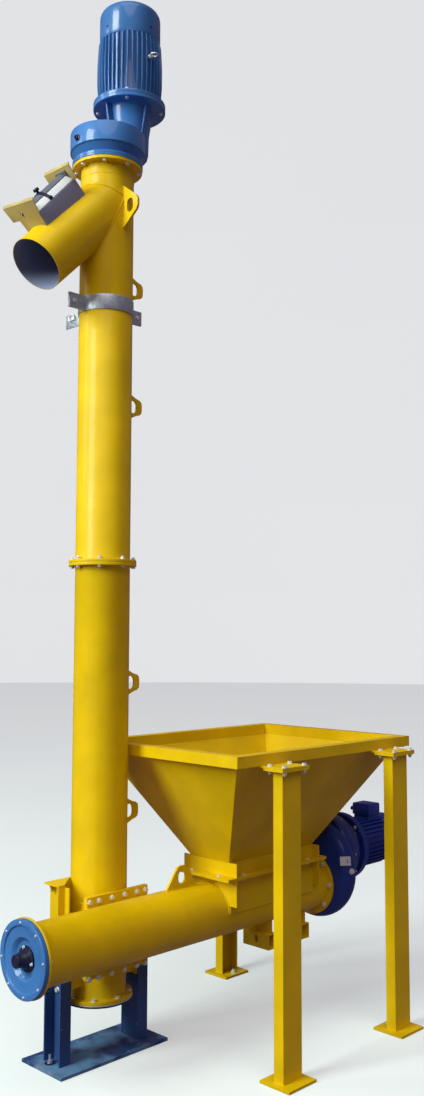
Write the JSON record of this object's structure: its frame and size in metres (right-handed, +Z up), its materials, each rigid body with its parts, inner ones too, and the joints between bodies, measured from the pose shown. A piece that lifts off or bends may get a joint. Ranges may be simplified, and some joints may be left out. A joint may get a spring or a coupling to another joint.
{
  "type": "vertical screw conveyor",
  "caption": "Vertical screw conveyor with a round tube, sloping discharge branch, geared motors, and a horizontal screw feeder under a square hopper on legs.",
  "frame": {"origin": "on the ground below the axis of the vertical screw, at the base plate's centre", "axes": "+Z up along the vertical tube; +X along the feeder towards its gear motor; the feeder lies on the -Y side of the vertical tube"},
  "size_m": [2.1518, 1.11, 4.248],
  "materials": {
    "yellow": "glossy yellow enamel",
    "stand": "satin dark blue enamel, dusty",
    "dark": "dark satin paint",
    "blue": "glossy blue enamel",
    "motor": "satin blue enamel on castings",
    "hatch": "dark grey satin",
    "lid": "pale grey satin",
    "zinc": "galvanised",
    "screw": "worn steel"
  },
  "bodies": {
    "root": {"base_plate": "stand", "stand_column_left": "stand", "stand_column_right": "stand", "tube_bracket_left": "yellow", "tube_bracket_right": "yellow", "bottom_cover": "dark", "lower_tube": "yellow", "upper_tube": "yellow", "discharge_head": "yellow", "hatch_frame": "hatch", "hatch_lid": "lid", "hatch_plate_lower": "yellow", "hatch_plate_upper": "yellow", "tube_lug_1": "yellow", "tube_lug_2": "yellow", "tube_lug_3": "yellow", "tube_lug_4": "yellow", "top_lug": "yellow", "feeder_lug": "yellow", "clamp_front": "zinc", "clamp_back": "zinc", "crossing_duct": "yellow", "crossing_flange": "yellow", "feeder_tube": "yellow", "feeder_end_cover": "blue", "feeder_seal": "dark", "inlet_spout": "yellow", "hopper_collar": "yellow", "hopper_wall_left": "yellow", "hopper_wall_right": "yellow", "hopper_wall_near": "yellow", "hopper_wall_far": "yellow", "hopper_rim_left": "yellow", "hopper_rim_right": "yellow", "hopper_rim_near": "yellow", "hopper_rim_far": "yellow", "leg_near_left": "yellow", "leg_near_right": "yellow", "leg_far_right": "yellow", "cross_beam_left": "yellow", "cross_beam_right": "yellow", "top_gearbox": "blue", "top_motor": "motor", "top_motor_cowl": "motor", "top_terminal_box": "motor", "feeder_gearbox": "blue", "feeder_motor": "motor", "feeder_motor_cowl": "motor", "feeder_terminal_box": "motor", "feeder_screw": "screw", "lifting_screw": "screw"}
  },
  "joints": []
}
